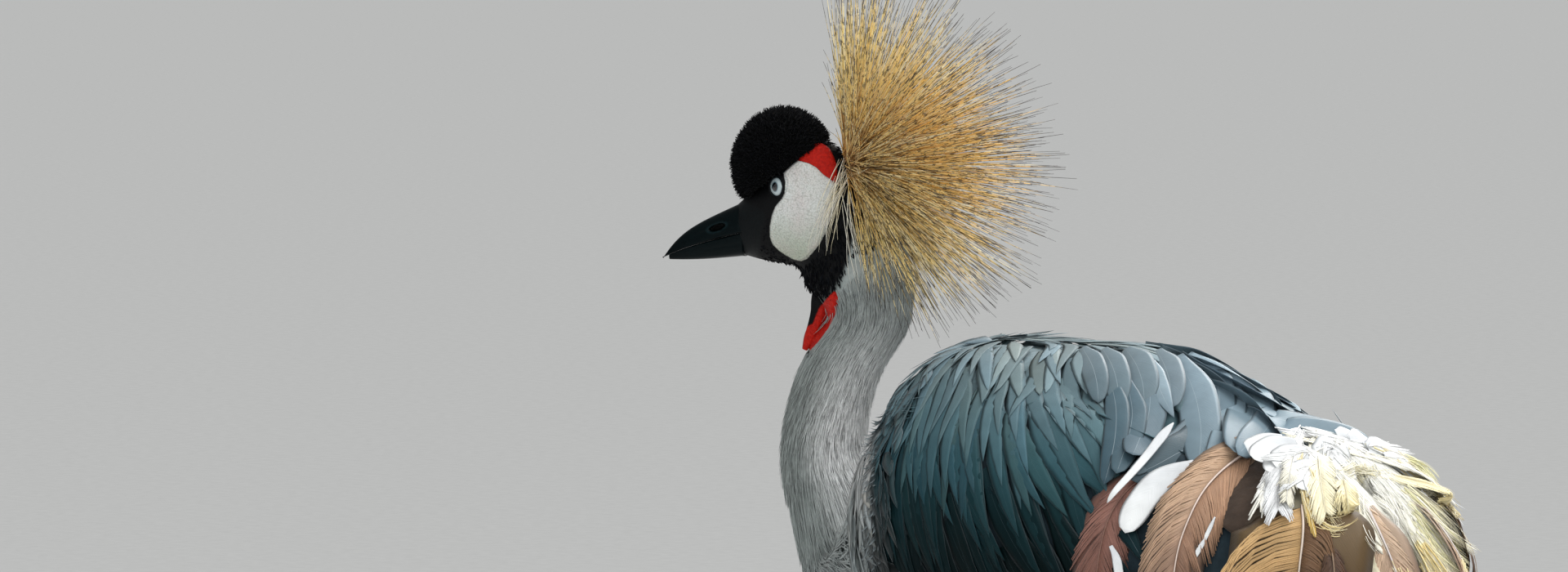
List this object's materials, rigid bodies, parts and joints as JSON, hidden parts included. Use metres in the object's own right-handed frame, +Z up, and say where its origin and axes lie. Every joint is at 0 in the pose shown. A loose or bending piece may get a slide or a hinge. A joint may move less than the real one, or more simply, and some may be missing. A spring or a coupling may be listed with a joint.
{
  "type": "grey crowned crane bird figure",
  "caption": "Life-size still figure of a grey crowned crane standing on both feet, head turned left, with a round fan of golden bristles on its nape and drooping plumes over its tail.",
  "frame": {"origin": "Middle of the base of the bounding box, on the floor between the feet.", "axes": "The body faces -X, the bird's left side is towards -Y, and +Z is up. The head is turned 29 degrees to the bird's left."},
  "size_m": [0.595, 0.2552, 0.8371],
  "materials": {
    "black_head": "matte",
    "crown_plush": "matte",
    "bill_horn": "satin",
    "eye": "gloss",
    "red_skin": "satin",
    "crest_bristle": "matte",
    "pale_neck": "matte",
    "slate_body": "matte",
    "tail_feather": "matte",
    "wing_feather": "matte",
    "plume_feather": "matte",
    "leg_scale": "satin",
    "claw_horn": "satin"
  },
  "bodies": {
    "root": {"head": "black_head", "crown_cap": "crown_plush", "bill_upper": "bill_horn", "bill_lower": "bill_horn", "eye_left": "eye", "eye_right": "eye", "throat_flap": "red_skin", "crest": "crest_bristle", "neck_upper": "pale_neck", "neck_lower": "pale_neck", "trunk": "slate_body", "tail": "tail_feather", "wing_left": "wing_feather", "plumes_left": "plume_feather", "thigh_left": "slate_body", "shank_left": "leg_scale", "foot_left": "leg_scale", "claw_middle_left": "claw_horn", "claw_inner_left": "claw_horn", "claw_outer_left": "claw_horn", "claw_hind_left": "claw_horn", "wing_right": "wing_feather", "plumes_right": "plume_feather", "thigh_right": "slate_body", "shank_right": "leg_scale", "foot_right": "leg_scale", "claw_middle_right": "claw_horn", "claw_inner_right": "claw_horn", "claw_outer_right": "claw_horn", "claw_hind_right": "claw_horn"}
  },
  "joints": []
}
